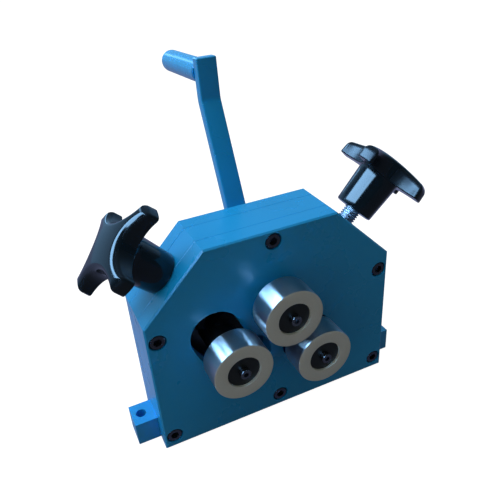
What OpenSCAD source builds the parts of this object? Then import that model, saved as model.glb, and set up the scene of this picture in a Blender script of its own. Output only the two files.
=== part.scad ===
/* [Housing] */
// Width of the housing across its two upright sides
width = 175; // [170:1:200]
// Height of the housing from the bench to its top face
height = 144; // [142:1:160]
// Width and height of each 45 degree corner that carries a hand screw
corner = 42; // [38:1:44]
// Thickness of the front plate
front_t = 13; // [11:0.5:16]
// Thickness of the middle frame that holds the gears
body_t = 19; // [19:0.5:24]
// Thickness of the rear plate
rear_t = 12; // [11:0.5:16]
// Thickness of the upright side walls of the middle frame
side_wall = 14; // [13.5:0.5:16]
// Room between the lowest gear and the solid floor of the middle frame
floor_gap = 4; // [3:0.5:8]
// Thickness of the middle frame's top wall
top_wall = 15; // [14:0.5:18]
// Thickness of the threaded wall behind each corner
screw_wall = 16; // [14:0.5:16]
// Depth of the pocket milled in the rear plate to clear the gears
pocket_d = 4.5; // [4.5:0.25:6]
// Bevel of the outer edges
bevel = 1; // [0.6:0.1:1.6]
// Bevel of the edges where two layers meet
seam = 0.25; // [0.15:0.05:0.5]

/* [Feet] */
// How far each foot lug stands out from the side
foot_len = 15.5; // [14:0.5:22]
// Height of a foot lug
foot_h = 18; // [10:0.5:24]
// Distance from the side of the housing to the bolt hole
foot_hole_out = 9; // [7.5:0.5:9.5]
// Diameter of the vertical bolt hole
foot_hole_d = 7; // [5:0.5:8]

/* [Plate screws] */
// Thread diameter of the six plate screws
plate_screw_d = 6; // [5:0.5:6.5]
// Diameter of their heads
plate_head_d = 10; // [9:0.25:10.5]
// Height of their heads
plate_head_h = 6; // [5:0.25:7]
// Length of thread in the rear plate
plate_grip = 8; // [6:0.5:9]
// Distance of the side screws from the side edge
plate_screw_edge = 7.2; // [7:0.1:7.4]
// Height of the bottom screws
plate_screw_low = 9.5; // [8:0.5:13]
// Distance of the side screws below the corner
plate_screw_drop = 12; // [10:0.5:16]
// Distance of the top screw below the top face
plate_screw_top = 7.5; // [7:0.25:8]
// Diameter of the two dowels that line the plates up
dowel_d = 6; // [5:0.5:6]
// Distance of each dowel from the middle
dowel_x = 55; // [45:1:62]

/* [Rollers] */
// Distance of the drive axis below the top face
drive_drop = 50; // [48:0.5:51]
// Distance between the drive axis and each side axis
centre_len = 45; // [44.5:0.25:46]
// Direction of the left roller from the drive axis, in degrees
left_dir = -143; // [-145:1:-143]
// Direction of the right roller from the drive axis, in degrees
right_dir = -61; // [-62:1:-60]
// Diameter of each roller
roller_d = 40; // [36:0.5:42]
// Length of each roller
roller_len = 19; // [17:0.5:24]
// Gap between the front plate and the rollers
roller_gap = 6; // [5:0.5:10]
// Bevel at each end of a roller
roller_bevel = 0.6; // [0.3:0.1:1.2]
// Diameter of the retaining disc in a roller's face
disc_d = 22.2; // [20:0.2:24]
// Thickness of the retaining disc
disc_t = 3; // [2:0.25:4]
// How far the disc lies below the roller's face
disc_sink = 1.5; // [0.5:0.25:2.5]
// Thread diameter of the disc screw
disc_screw_d = 4; // [3:0.5:5]
// Diameter of the disc screw's head
disc_head_d = 7; // [6:0.25:8]
// Height of the disc screw's head
disc_head_h = 4; // [3:0.25:5]
// Length of the disc screw under its head
disc_screw_len = 14; // [10:1:18]

/* [Shafts and bushes] */
// Diameter of the three shafts
shaft_d = 14; // [13.5:0.25:14.5]
// Diameter of the collar behind each roller
collar_d = 20; // [18:0.5:22]
// Outside diameter of the sleeve that carries both swing arms
sleeve_d = 24; // [23:0.5:25]
// Outside diameter of the floating bushes
bush_d = 16.5; // [16.25:0.25:17]
// Outside diameter of the rear bush
rear_bush_d = 20; // [18:0.5:24]
// Width and height of the square keys
key_w = 4; // [3:0.25:4.5]
// Length of a roller key
roller_key_len = 9; // [7:0.5:11]
// Radial clearance of a running fit
fit = 0.05; // [0.02:0.01:0.08]
// Clearance between faces that pass or turn on each other
gap = 0.3; // [0.2:0.05:0.35]

/* [Gears] */
// Number of teeth on each gear
teeth = 30; // [28:1:32]
// Pressure angle in degrees
pressure = 20; // [20:1:22]
// Width of the gears
gear_w = 8; // [6:0.5:8]
// Play between the teeth, along the pitch circle
backlash = 0.24; // [0.16:0.02:0.3]
// Thickness of the clips that hold the gears on the shafts
clip_t = 1.1; // [0.8:0.1:1.2]

/* [Swing arms] */
// Thickness of each swing arm
arm_t = 6; // [5:0.25:6]
// Diameter of an arm's hub
arm_hub_d = 34; // [33:0.5:36]
// Diameter of the boss that passes through the front plate
boss_d = 22; // [21.5:0.5:23]
// Thickness of the curved finger that a screw works on
finger_t = 5; // [4:0.25:5.5]
// Length of the finger beyond the shoe on the side of the hub
finger_root = 6.5; // [6.5:0.5:8]
// Length of the finger beyond the shoe on its free side
finger_tip = 14; // [12:0.5:14]
// Width of the left arc slot in the front plate
left_slot_w = 34; // [30:1:34]
// Angle of the left slot's upper end
left_slot_top = -164; // [-166:1:-164]
// Angle of the left slot's lower end
left_slot_low = -120; // [-124:1:-118]
// Width of the right arc slot
right_slot_w = 24; // [24:0.5:26]
// Angle of the right slot's upper end
right_slot_top = -52; // [-52:1:-50]
// Angle of the right slot's lower end
right_slot_low = -70; // [-72:1:-70]

/* [Hand screws] */
// Thread diameter of the studs
stud_d = 12; // [11:0.5:12.5]
// Depth of each swivel shoe's outer face inside the corner
shoe_start = 26.5; // [26:0.25:27]
// Length of the shoe's block that holds the stud's neck
shoe_block = 8; // [7.5:0.5:8.5]
// Thickness of the shoe's inner lip
shoe_lip = 3; // [2.5:0.25:3.5]
// Width of the shoe
shoe_w = 12; // [10:0.5:12]
// Diameter of the stud's neck
neck_d = 5; // [4:0.25:5.5]
// Diameter of the pin that holds the neck in the shoe
shoe_pin_d = 2; // [1.5:0.25:2]
// Gap under the left knob
left_knob_gap = 0.3; // [0.2:0.05:1]
// Length of thread that shows under the right knob
right_knob_gap = 9; // [8:0.2:14]

/* [Knobs] */
// Diameter across the four lobes
star_d = 67; // [60:1:70]
// Thickness of a lobe at the rim
rim_t = 9.5; // [7:0.5:12]
// How far the rim leans in towards the crown
rim_lean = 0.4; // [0:0.2:2]
// Height of the crown above the rim
crown_h = 5; // [3:0.25:6.5]
// Distance from the axis to the bottom of a valley
valley_in = 15.25; // [15.25:0.25:18]
// Width of a lobe at its tip
lobe_w = 13; // [10:0.5:20]
// Length of the knob's hub
hub_len = 28; // [22:0.5:32]
// Diameter of the hub at the housing
hub_base_d = 27; // [24:0.5:29]
// Diameter of the hub under the lobes
hub_top_d = 29.5; // [27:0.5:30]
// How deep the stud sits in the knob
stud_seat = 22; // [16:1:28]
// Turn of the left knob's lobes in degrees
left_star_turn = 77; // [0:1:90]
// Turn of the right knob's lobes in degrees
right_star_turn = 68; // [0:1:90]

/* [Crank] */
// Width of the crank's bar
bar_w = 14; // [12:0.5:18]
// Thickness of the bar
bar_t = 8; // [6:0.5:10]
// Gap between the housing and the crank's hub
crank_gap = 4; // [3:0.5:8]
// Radius at which the bar starts to lean back
bend_low = 28; // [20:1:34]
// Radius at which the bar turns upright again
bend_high = 110; // [90:1:120]
// Radius of the bar's end
bar_end = 137; // [130:1:150]
// Lean of the bar's long stretch in degrees
lean_long = 24; // [10:1:30]
// Lean of the bar's end in degrees
lean_end = 3.5; // [0:0.5:6]
// Diameter of the crank's round hub
crank_hub_d = 26; // [24:1:32]
// Diameter of the shaft in the crank's hub
crank_seat_d = 12; // [11:0.5:13]
// Diameter of the handle
handle_d = 16; // [14:0.5:20]
// Length of the handle
handle_len = 75; // [60:1:90]
// Distance of the handle from the bar's end
handle_drop = 10; // [9:0.5:14]
// Width across the flats of the crank's nut
nut_flats = 17; // [15:0.5:19]
// Height of the crank's nut
nut_h = 8; // [6:0.5:10]
// Thread diameter at the crank's end of the shaft
nut_thread_d = 10; // [8:0.5:11]

/* [Hidden] */
$fn = 64;
over = 1; // overrun of every cut

paint = "#2f8fd4";
steel = "#b9bcc0";
dark = "#2b2c30";
bronze = "#b08a4a";
plastic = "#15171c";

// Depths along Y, with zero at the middle of the middle frame
front_y = -(body_t / 2 + front_t);
seam_y = body_t / 2;
back_y = seam_y + rear_t;
pocket_y = seam_y + pocket_d;
left_arm_y = -seam_y + gap;
right_arm_y = left_arm_y + arm_t + gap / 2;
gear_y = right_arm_y + arm_t + 3 * gap;
clip_y = gear_y + gear_w;
roller_rear_y = front_y - roller_gap;
roller_front_y = roller_rear_y - roller_len;
disc_y = roller_front_y + disc_sink;
shaft_front_y = disc_y + disc_t;
boss_y = front_y + over;
boss_rear_y = gear_y - gap;
crank_y = back_y + crank_gap;

// Places in the XZ plane
drive_z = height - drive_drop;
drive_p = [0, drive_z];
function polar(r, a) = r * [cos(a), sin(a)];
left_p = drive_p + polar(centre_len, left_dir);
right_p = drive_p + polar(centre_len, right_dir);

shaft_r = shaft_d / 2;
key_in = shaft_r - 0.6 * key_w;
clip_r = shaft_r + shaft_d / 8;
groove_r = shaft_r - shaft_d / 16;
gear_pitch_r = centre_len / 2;
tooth_m = centre_len / teeth;
tip_r = gear_pitch_r + tooth_m;
floor_z = right_p.y - tip_r - floor_gap;

// Outline of the housing and of the hollow inside it, as X and Z
top_x = width / 2 - corner;
outline = [[-width / 2, 0], [width / 2, 0], [width / 2, height - corner], [top_x, height],
    [-top_x, height], [-width / 2, height - corner]];
inner_x = width / 2 - side_wall;
inner_sum = top_x + height - screw_wall * sqrt(2);
hollow = [[-inner_x, floor_z], [inner_x, floor_z], [inner_x, inner_sum - inner_x],
    [inner_sum - height + top_wall, height - top_wall],
    [height - top_wall - inner_sum, height - top_wall], [-inner_x, inner_sum - inner_x]];

screw_x = width / 2 - plate_screw_edge;
screw_side_z = height - corner - plate_screw_drop;
plate_screw_at = [[-screw_x, plate_screw_low], [0, plate_screw_low], [screw_x, plate_screw_low],
    [-screw_x, screw_side_z], [screw_x, screw_side_z], [0, height - plate_screw_top]];
head_seat_y = front_y + plate_head_h + gap;
head_hole_r = plate_head_d / 2 + 2.5 * gap;

// The hand screws: middle of a corner, and the arm that a screw has about the drive axis
corner_x = width / 2 - corner / 2;
corner_z = height - corner / 2;
screw_arm = (corner_x - (corner_z - drive_z)) / sqrt(2);
screw_reach = (corner_x + (corner_z - drive_z)) / sqrt(2);
slot_at = shoe_start + shoe_block + gap + finger_t / 2;
finger_u = screw_reach - slot_at;
shoe_end = slot_at + finger_t / 2 + gap + shoe_lip;
finger_root_run = shoe_w / 2 + finger_root;
finger_tip_run = shoe_w / 2 + finger_tip;

// Solids that lie along Y
module rod(p, r, y0, y1) translate([p.x, y1, p.y]) rotate([90, 0, 0]) cylinder(r = r, h = y1 - y0);
module slab(y0, y1) translate([0, y1, 0]) rotate([90, 0, 0]) linear_extrude(y1 - y0) children();
module turned(p, y0) translate([p.x, y0, p.y]) rotate([-90, 0, 0]) rotate_extrude() children();

// Cut that bevels one outline edge at depth y; side is -1 on a front face and 1 on a rear face
module edge_cut(p, q, y, side, size) {
    run = norm(q - p);
    translate([p.x, y, p.y]) rotate([0, -atan2(q.y - p.y, q.x - p.x), 0])
        translate([-over, 0, 0]) rotate([90, 0, 90]) linear_extrude(run + 2 * over)
            polygon([[side * over, -over], [side * over, size + over], [0, size], [-side * size, 0],
                [-side * (size + over), -over]]);
}
module bevels(y, side, size)
    for (i = [0 : len(outline) - 1])
        edge_cut(outline[i], outline[(i + 1) % len(outline)], y, side, size);

module screw_holes(r, y0, y1) for (p = plate_screw_at) rod(p, r, y0, y1);
module dowel_holes(y0, y1) for (s = [-1, 1]) rod([s * dowel_x, floor_z / 2], dowel_d / 2, y0, y1);

// Slot that follows an arc about the drive axis. Its ends are a hair wider than its sides.
module arc_slot(a0, a1, w) {
    far = 2 * (centre_len + w);
    intersection() {
        difference() {
            rod(drive_p, centre_len + w / 2, front_y - over, -seam_y + over);
            rod(drive_p, centre_len - w / 2, front_y - 2 * over, -seam_y + 2 * over);
        }
        slab(front_y - over, -seam_y + over)
            translate(drive_p) polygon([[0, 0], polar(far, a0), polar(far, (a0 + a1) / 2), polar(far, a1)]);
    }
    for (a = [a0, a1])
        rod(drive_p + polar(centre_len, a), w / 2 + 2 * fit, front_y - over, -seam_y + over);
}

module front_plate() color(paint) difference() {
    slab(front_y, -seam_y) polygon(outline);
    bevels(front_y, -1, bevel);
    bevels(-seam_y, 1, seam);
    arc_slot(left_slot_top, left_slot_low, left_slot_w);
    arc_slot(right_slot_low, right_slot_top, right_slot_w);
    rod(drive_p, sleeve_d / 2, front_y - over, -seam_y + over);
    screw_holes(plate_screw_d / 2 + gap, front_y, -seam_y + over);
    screw_holes(head_hole_r, front_y - over, head_seat_y);
    dowel_holes(-seam_y - front_t / 2, -seam_y + over);
}

module middle_frame() color(paint) difference() {
    union() {
        slab(-seam_y, seam_y) polygon(outline);
        for (s = [-1, 1])
            translate([s > 0 ? width / 2 - over : -width / 2 - foot_len, -seam_y, 0])
                cube([foot_len + over, body_t, foot_h]);
    }
    slab(-seam_y - over, seam_y + over) polygon(hollow);
    intersection() {
        union() {
            bevels(-seam_y, -1, seam);
            bevels(seam_y, 1, seam);
        }
        translate([-width, -body_t, foot_h]) cube([2 * width, 2 * body_t, height]);
    }
    for (s = [-1, 1])
        translate([s * (width / 2 + foot_hole_out), 0, -over])
            cylinder(d = foot_hole_d, h = foot_h + 2 * over);
    screw_holes(plate_screw_d / 2 + gap, -seam_y - over, seam_y + over);
    dowel_holes(-seam_y - over, seam_y + over);
    for (s = [0, 1]) mirror([s, 0, 0]) on_corner()
        translate([0, 0, -screw_wall - over]) cylinder(d = stud_d + 2 * fit, h = screw_wall + 2 * over);
}

module rear_plate() color(paint) difference() {
    slab(seam_y, back_y) polygon(outline);
    bevels(seam_y, -1, seam);
    bevels(back_y, 1, bevel);
    slab(seam_y - over, pocket_y) polygon(hollow);
    rod(drive_p, rear_bush_d / 2, pocket_y - over, back_y + over);
    screw_holes(plate_screw_d / 2, seam_y - over, seam_y + plate_grip + gap);
    dowel_holes(seam_y - over, seam_y + rear_t / 2);
}

// Socket of a cap screw, cut from the front
module hex_cut(p, flats, y0, depth)
    translate([p.x, y0 - over, p.y]) rotate([-90, 0, 0])
        cylinder(d = flats / cos(30), h = depth + over, $fn = 6);

module plate_screws() color(dark)
    for (p = plate_screw_at) difference() {
        union() {
            rod(p, plate_head_d / 2, head_seat_y - plate_head_h, head_seat_y);
            rod(p, plate_screw_d / 2 - fit, head_seat_y, seam_y + plate_grip);
        }
        hex_cut(p, plate_head_d / 2, head_seat_y - plate_head_h, plate_head_h / 2);
    }

module dowel_pins() color(steel)
    for (s = [-1, 1])
        rod([s * dowel_x, floor_z / 2], dowel_d / 2 - fit / 2, -seam_y - front_t / 2 + gap,
            seam_y + rear_t / 2 - gap);

// The sleeve carries the drive shaft inside and both swing arms outside
module front_sleeve() color(bronze) difference() {
    rod(drive_p, sleeve_d / 2, front_y, gear_y - gap);
    rod(drive_p, shaft_r + fit, front_y - over, gear_y + over);
}

module rear_bush() color(bronze) difference() {
    rod(drive_p, rear_bush_d / 2, pocket_y, back_y);
    rod(drive_p, shaft_r + fit, pocket_y - over, back_y + over);
}

// Gear outline from the involute of the base circle
base_r = gear_pitch_r * cos(pressure);
root_r = gear_pitch_r - 1.25 * tooth_m;
flank_steps = 4;
function inv(a) = tan(a) * 180 / PI - a;
function tooth_half(r) = 90 / teeth - backlash / 2 / gear_pitch_r * 180 / PI / 2
    + inv(pressure) - inv(acos(min(1, base_r / r)));
flank_r = [root_r, for (k = [0 : flank_steps]) base_r + (tip_r - base_r) * k / flank_steps];
function flank(i, side) = [for (k = [0 : len(flank_r) - 1])
    let (r = flank_r[side < 0 ? k : len(flank_r) - 1 - k])
    polar(r, i * 360 / teeth + side * tooth_half(max(r, base_r)))];
gear_outline = [for (i = [0 : teeth - 1], side = [-1, 1], q = flank(i, side)) q];

// A square key, or the room cut for it, on top of a shaft at p
module key_block(p, seat_r, y0, y1, room)
    translate([p.x - key_w / 2 - room, y0 - room, p.y + seat_r - 0.6 * key_w - room])
        cube([key_w + 2 * room, y1 - y0 + 2 * room, key_w + 2 * room]);

gear_key_ends = [gear_y + gap, gear_y + gear_w - gap];
roller_key_ends = [roller_rear_y - roller_key_len - gap, roller_rear_y - gap];
crank_key_ends = [crank_y + gap, crank_y + bar_t - gap];

module gear(p, phase) difference() {
    slab(gear_y, gear_y + gear_w) translate(p) rotate(phase) polygon(gear_outline);
    rod(p, shaft_r + fit / 2, gear_y - over, gear_y + gear_w + over);
    key_block(p, shaft_r, gear_y - over, gear_y + gear_w + over, fit);
}

// A shaft from the retaining disc back to the gear's clip
module shaft_body(p, collar_end) {
    rod(p, shaft_r, shaft_front_y, clip_y);
    rod(p, groove_r, clip_y, clip_y + clip_t + gap);
    rod(p, collar_d / 2, roller_rear_y, collar_end);
}
module shaft_cuts(p) {
    rod(p, disc_screw_d / 2, shaft_front_y - over, shaft_front_y + disc_screw_len);
    key_block(p, shaft_r, gear_key_ends[0], gear_key_ends[1], fit);
    key_block(p, shaft_r, roller_key_ends[0], roller_key_ends[1], fit);
}
module side_shaft(p) color(steel) difference() {
    union() {
        shaft_body(p, boss_y - gap);
        rod(p, shaft_r, clip_y + clip_t + gap, pocket_y - gap);
    }
    shaft_cuts(p);
}
module gear_clip(p) color(dark) difference() {
    rod(p, clip_r, clip_y + gap / 3, clip_y + gap / 3 + clip_t);
    rod(p, groove_r + fit, clip_y - over, clip_y + clip_t + over);
    translate([p.x - groove_r / 2, clip_y - over, p.y - clip_r - over])
        cube([groove_r, clip_t + 2 * over, clip_r + over - groove_r / 2]);
}
module gear_key(p) color(steel) key_block(p, shaft_r, gear_key_ends[0], gear_key_ends[1], 0);
module roller_key(p) color(steel) key_block(p, shaft_r, roller_key_ends[0], roller_key_ends[1], 0);

// A roller is a plain turned ring with a recess for its retaining disc
module roller(p) color(steel) difference() {
    turned(p, roller_front_y) polygon([
        [disc_d / 2 + fit, 0], [roller_d / 2 - roller_bevel, 0], [roller_d / 2, roller_bevel],
        [roller_d / 2, roller_len - roller_bevel], [roller_d / 2 - roller_bevel, roller_len],
        [shaft_r + fit / 2, roller_len], [shaft_r + fit / 2, disc_sink + disc_t],
        [disc_d / 2 + fit, disc_sink + disc_t]]);
    key_block(p, shaft_r, roller_key_ends[0], roller_key_ends[1] + over, fit);
}
module disc(p) color(plastic) difference() {
    rod(p, disc_d / 2, disc_y, shaft_front_y);
    rod(p, disc_screw_d / 2 + fit, disc_y - over, shaft_front_y + over);
}
module disc_screw(p) color(dark) difference() {
    union() {
        rod(p, disc_head_d / 2, disc_y - disc_head_h, disc_y);
        rod(p, disc_screw_d / 2 - fit, disc_y, disc_y + disc_screw_len);
    }
    hex_cut(p, 0.43 * disc_head_d, disc_y - disc_head_h, disc_head_h / 2);
}

module drive_shaft() color(steel) difference() {
    union() {
        shaft_body(drive_p, front_y - gap);
        rod(drive_p, shaft_r, clip_y + clip_t + gap, crank_y);
        rod(drive_p, crank_seat_d / 2, crank_y, crank_y + bar_t);
        rod(drive_p, nut_thread_d / 2 - fit, crank_y + bar_t, crank_y + bar_t + 1.5 * nut_h);
    }
    shaft_cuts(drive_p);
    key_block(drive_p, crank_seat_d / 2, crank_key_ends[0], crank_key_ends[1], fit);
}
module drive_gear() color(steel) gear(drive_p, 0);
module drive_gear_key() gear_key(drive_p);
module drive_gear_clip() gear_clip(drive_p);
module drive_roller() roller(drive_p);
module drive_roller_key() roller_key(drive_p);
module drive_disc() disc(drive_p);
module drive_disc_screw() disc_screw(drive_p);

module crank_spacer() color(steel) difference() {
    rod(drive_p, shaft_r + crank_gap / 2, back_y + gap, crank_y);
    rod(drive_p, shaft_r + fit, back_y, crank_y + over);
}

// Side view of the bar as Y and radius: upright hub, long leaning stretch, nearly upright end
function along(a, run) = run * [tan(a), 1];
bar_front = [[crank_y, 0], [crank_y, bend_low],
    [crank_y, bend_low] + along(lean_long, bend_high - bend_low),
    [crank_y, bend_low] + along(lean_long, bend_high - bend_low) + along(lean_end, bar_end - bend_high)];
bar_leans = [0, 0, lean_long, lean_end, lean_end];
function mitre(i) = bar_t / cos((bar_leans[i + 1] - bar_leans[i]) / 2)
    * [cos((bar_leans[i + 1] + bar_leans[i]) / 2), -sin((bar_leans[i + 1] + bar_leans[i]) / 2)];
bar_back = [for (i = [0 : 3]) bar_front[i] + mitre(i)];

module crank_arm() color(paint) difference() {
    union() {
        translate([-bar_w / 2, 0, drive_z]) rotate([90, 0, 90]) linear_extrude(bar_w)
            polygon([for (i = [0 : 3]) bar_front[i], for (i = [3 : -1 : 0]) bar_back[i]]);
        rod(drive_p, crank_hub_d / 2, crank_y, crank_y + bar_t);
    }
    rod(drive_p, crank_seat_d / 2 + fit / 2, crank_y - over, crank_y + bar_t + over);
    key_block(drive_p, crank_seat_d / 2, crank_y - over, crank_y + bar_t + over, fit);
}
module crank_key() color(steel)
    key_block(drive_p, crank_seat_d / 2, crank_key_ends[0], crank_key_ends[1], 0);

// Handle welded square to the bar's end, with its bead and a domed tip
handle_run = bar_end - handle_drop - bend_high;
handle_foot = bar_front[2] + along(lean_end, handle_run)
    + bar_t * [cos(lean_end), -sin(lean_end)];
bead = handle_d / 12;
dome = 0.4 * handle_d;
module crank_handle() color(paint)
    translate([0, handle_foot.x, drive_z + handle_foot.y]) rotate([-90 - lean_end, 0, 0]) rotate_extrude()
        polygon([[0, 0], [handle_d / 2 - bead / 2, 0], [handle_d / 2, bead],
            for (a = [0 : 10 : 90])
                [handle_d / 2 - dome + dome * cos(a), handle_len - dome + dome * sin(a)],
            [0, handle_len]]);

washer_t = nut_h / 4;
module crank_washer() color(steel) difference() {
    rod(drive_p, nut_thread_d, crank_y + bar_t, crank_y + bar_t + washer_t);
    rod(drive_p, nut_thread_d / 2 + fit, crank_y, crank_y + bar_t + washer_t + over);
}
module crank_nut() color(steel) difference() {
    translate([0, crank_y + bar_t + washer_t, drive_z]) rotate([-90, 0, 0])
        cylinder(d = nut_flats / cos(30), h = nut_h, $fn = 6);
    rod(drive_p, nut_thread_d / 2, crank_y, crank_y + bar_t + washer_t + nut_h + over);
}

// Plan strip between two circles, with its sides a little inside them
module strap(p, rp, q, rq) {
    a = atan2(q.y - p.y, q.x - p.x);
    g = acos((rp - rq) / norm(q - p));
    polygon([p + polar(rp - gap, a + g), q + polar(rq - gap, a + g), q + polar(rq - gap, a - g),
        p + polar(rp - gap, a - g)]);
}

// The finger's flanks are involutes of the circle that the screw's axis touches, so the arm
// turns in step with the screw. run is the length along the finger from its rest contact.
function turn2(v, a) = [v.x * cos(a) - v.y * sin(a), v.x * sin(a) + v.y * cos(a)];
function string_at(run) = sqrt(finger_u * finger_u + 2 * screw_arm * run);
function finger_point(u, w) = turn2(polar(screw_arm, -135) + polar(u + w, 135),
    (u - finger_u) / screw_arm * 180 / PI);
finger_steps = 14;
finger_u_list = [for (k = [0 : finger_steps])
    string_at(-finger_root_run + (finger_root_run + finger_tip_run) * k / finger_steps)];
module finger() translate(drive_p) {
    polygon([for (u = finger_u_list) finger_point(u, finger_t / 2),
        for (k = [finger_steps : -1 : 0]) finger_point(finger_u_list[k], -finger_t / 2)]);
    strap([0, 0], arm_hub_d / 2, finger_point(finger_u_list[0], 0), finger_t / 2);
    translate(finger_point(finger_u_list[0], 0)) circle(finger_t / 2, $fn = 24);
}

// side is 0 on the left and 1 on the right, where the finger is the left one's mirror image
module swing_arm(p, y0, side) color(dark) difference() {
    union() {
        slab(y0, y0 + arm_t) {
            strap(drive_p, arm_hub_d / 2, p, boss_d / 2);
            mirror([side, 0]) finger();
        }
        rod(drive_p, arm_hub_d / 2, y0, y0 + arm_t);
        rod(p, boss_d / 2, boss_y, boss_rear_y);
    }
    rod(drive_p, sleeve_d / 2 + fit, y0 - over, y0 + arm_t + over);
    rod(p, bush_d / 2 + fit, boss_y - over, boss_rear_y + over);
}
module floating_bush(p) color(bronze) difference() {
    rod(p, bush_d / 2, boss_y, boss_rear_y);
    rod(p, shaft_r + fit, boss_y - over, boss_rear_y + over);
}
function side_phase(dir) = 2 * dir + 180 + 180 / teeth;

module left_swing_arm() swing_arm(left_p, left_arm_y, 0);
module left_bush() floating_bush(left_p);
module left_shaft() side_shaft(left_p);
module left_gear() color(steel) gear(left_p, side_phase(left_dir));
module left_gear_key() gear_key(left_p);
module left_gear_clip() gear_clip(left_p);
module left_roller() roller(left_p);
module left_roller_key() roller_key(left_p);
module left_disc() disc(left_p);
module left_disc_screw() disc_screw(left_p);

module right_swing_arm() swing_arm(right_p, right_arm_y, 1);
module right_bush() floating_bush(right_p);
module right_shaft() side_shaft(right_p);
module right_gear() color(steel) gear(right_p, side_phase(right_dir));
module right_gear_key() gear_key(right_p);
module right_gear_clip() gear_clip(right_p);
module right_roller() roller(right_p);
module right_roller_key() roller_key(right_p);
module right_disc() disc(right_p);
module right_disc_screw() disc_screw(right_p);

// Frame of the left hand screw: Z points out of the corner, X across it towards the drive axis
module on_corner() translate([-corner_x, 0, corner_z]) rotate([0, -45, 0]) children();

shoe_rear_y = gear_y - gap;
shoe_front_y = left_arm_y + gap / 2;
pin_off = (neck_d + 0.1 * shoe_pin_d) / 2;
pin_at = shoe_start + shoe_block / 2;

// The shoe swivels on the stud's neck and holds the finger in its slot, where the inner lip
// is crowned more than the finger's flank is curved
lip_crown = 0.65 * finger_u;
module shoe(side) color(dark) mirror([side, 0, 0]) on_corner() difference() {
    slot_y0 = side > 0 ? right_arm_y - gap : shoe_front_y - over;
    slot_y1 = side > 0 ? shoe_rear_y + over : shoe_front_y + arm_t + gap;
    translate([-shoe_w / 2, shoe_front_y, -shoe_end])
        cube([shoe_w, shoe_rear_y - shoe_front_y, shoe_end - shoe_start]);
    slot_half = (finger_t + gap) / 2;
    translate([0, slot_y1, -slot_at]) rotate([90, 0, 0]) linear_extrude(slot_y1 - slot_y0)
        polygon([[-shoe_w, slot_half], for (x = [-shoe_w : shoe_w / 8 : shoe_w])
            [x, -slot_half - x * x / 2 / lip_crown], [shoe_w, slot_half]]);
    translate([0, 0, -shoe_start - shoe_block]) cylinder(d = neck_d + 2 * fit, h = shoe_block + over);
    pin_hole(shoe_pin_d / 2 + fit / 2, over);
}
module pin_hole(r, run)
    translate([pin_off, shoe_rear_y + run, -pin_at]) rotate([90, 0, 0])
        cylinder(r = r, h = shoe_rear_y - shoe_front_y + 2 * run);
module shoe_pin(side) color(steel) mirror([side, 0, 0]) on_corner() pin_hole(shoe_pin_d / 2, 0);

// Stud: threaded from the knob to the shoe, then a neck with a groove for the pin
module stud(side, out) color(steel) mirror([side, 0, 0]) on_corner()
    rotate_extrude() polygon([
        [0, out + stud_seat], [stud_d / 2 - bevel, out + stud_seat], [stud_d / 2, out + stud_seat - bevel],
        [stud_d / 2, gap - shoe_start],
        [neck_d / 2, gap - shoe_start], [neck_d / 2, shoe_pin_d / 2 + gap - pin_at],
        [neck_d / 2 - 0.4 * shoe_pin_d - gap, shoe_pin_d / 2 + gap - pin_at],
        [neck_d / 2 - 0.4 * shoe_pin_d - gap, -shoe_pin_d / 2 - gap - pin_at],
        [neck_d / 2, -shoe_pin_d / 2 - gap - pin_at],
        [neck_d / 2, gap - shoe_start - shoe_block], [0, gap - shoe_start - shoe_block]]);

// Four-lobed grip: valley circles cut from the disc, under a crowned top
lobe_half = asin(lobe_w / star_d);
tip_v = polar(star_d / 2, 45 - lobe_half);
valley_c = (tip_v.x * tip_v.x + tip_v.y * tip_v.y - valley_in * valley_in) / 2 / (tip_v.x - valley_in);
crown_edge = star_d / 2 - rim_lean;
crown_r = (crown_edge * crown_edge + crown_h * crown_h) / 2 / crown_h;
module knob(side, out, turn) color(plastic) mirror([side, 0, 0]) on_corner() translate([0, 0, out])
    difference() {
        union() {
            rotate_extrude() polygon([[0, 0], [hub_base_d / 2 - bevel, 0], [hub_base_d / 2, bevel],
                [hub_top_d / 2, hub_len], [0, hub_len]]);
            translate([0, 0, hub_len]) rotate(turn) difference() {
                rotate_extrude() polygon([[0, 0], [star_d / 2, 0],
                    for (k = [0 : 12]) let (r = crown_edge * (1 - k / 12))
                        [r, rim_t + sqrt(crown_r * crown_r - r * r) - (crown_r - crown_h)]]);
                for (k = [0 : 3]) rotate(45 + 90 * k) translate([valley_c, 0, -over])
                    cylinder(r = valley_c - valley_in, h = rim_t + crown_h + 2 * over);
            }
        }
        translate([0, 0, -over]) cylinder(d = stud_d + 2 * fit, h = stud_seat + over);
    }

module left_shoe() shoe(0);
module left_shoe_pin() shoe_pin(0);
module left_stud() stud(0, left_knob_gap);
module left_knob() knob(0, left_knob_gap, left_star_turn);
module right_shoe() shoe(1);
module right_shoe_pin() shoe_pin(1);
module right_stud() stud(1, right_knob_gap);
module right_knob() knob(1, right_knob_gap, right_star_turn);

front_plate();
middle_frame();
rear_plate();
plate_screws();
dowel_pins();
front_sleeve();
rear_bush();
drive_shaft();
drive_gear();
drive_gear_key();
drive_gear_clip();
drive_roller();
drive_roller_key();
drive_disc();
drive_disc_screw();
crank_spacer();
crank_arm();
crank_key();
crank_handle();
crank_washer();
crank_nut();
left_swing_arm();
left_bush();
left_shaft();
left_gear();
left_gear_key();
left_gear_clip();
left_roller();
left_roller_key();
left_disc();
left_disc_screw();
right_swing_arm();
right_bush();
right_shaft();
right_gear();
right_gear_key();
right_gear_clip();
right_roller();
right_roller_key();
right_disc();
right_disc_screw();
left_shoe();
left_shoe_pin();
left_stud();
left_knob();
right_shoe();
right_shoe_pin();
right_stud();
right_knob();
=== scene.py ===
import math
import bmesh
import bpy
from mathutils import Matrix, Vector


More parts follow.
